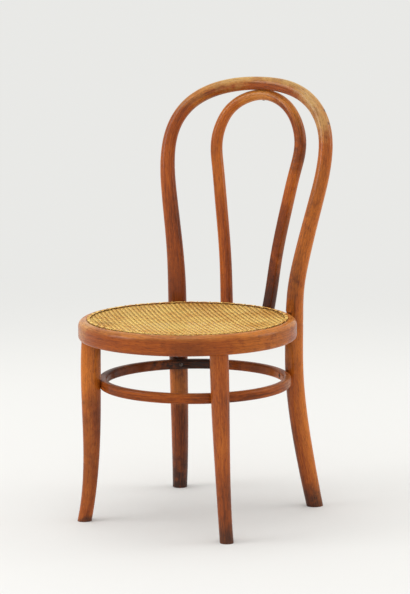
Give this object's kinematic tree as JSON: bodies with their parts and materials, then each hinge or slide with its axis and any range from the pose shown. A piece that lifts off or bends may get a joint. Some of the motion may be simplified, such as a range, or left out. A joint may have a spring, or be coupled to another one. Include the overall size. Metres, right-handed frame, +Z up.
{
  "type": "bentwood bistro chair",
  "caption": "Bentwood chair with a round hand-caned seat, a looped back with an inner hoop, curved legs and a foot ring.",
  "frame": {"origin": "on the floor, in the middle of the box that the chair takes up", "axes": "+Z up, -Y towards the front of the seat, +X to the right of someone who looks at the front"},
  "size_m": [0.42, 0.5046, 0.8406],
  "materials": {
    "back_frame_wood": "steam-bent beech, stained warm red-brown and shellacked, worn paler over the crown",
    "inner_hoop_wood": "steam-bent beech, stained warm red-brown and shellacked",
    "seat_ring_wood": "steam-bent beech, stained warm red-brown, worn at the edge",
    "front_leg_wood": "steam-bent beech, stained warm red-brown, darker at the foot",
    "leg_block_wood": "sawn beech, thinly stained",
    "foot_ring_wood": "steam-bent beech, stained dark brown, worn on top",
    "bolt_steel": "darkened steel",
    "screw_steel": "darkened steel",
    "cane": "natural rattan cane, golden tan with age",
    "binder_cane": "natural rattan cane, golden tan with age"
  },
  "bodies": {
    "root": {"back_frame": "back_frame_wood", "inner_hoop": "inner_hoop_wood", "seat_ring": "seat_ring_wood", "front_leg_right": "front_leg_wood", "front_leg_left": "front_leg_wood", "leg_block_right": "leg_block_wood", "leg_block_left": "leg_block_wood", "foot_ring": "foot_ring_wood", "post_bolts": "bolt_steel", "post_bolt_washers": "bolt_steel", "post_bolt_nuts": "bolt_steel", "inner_hoop_screws": "screw_steel", "crown_screw": "screw_steel", "foot_ring_screws": "screw_steel", "cane_front_to_back": "cane", "cane_side_to_side": "cane", "cane_diagonal_left": "cane", "cane_diagonal_right": "cane", "cane_binder": "binder_cane", "cane_ties": "binder_cane", "cane_pegs": "binder_cane"}
  },
  "joints": []
}
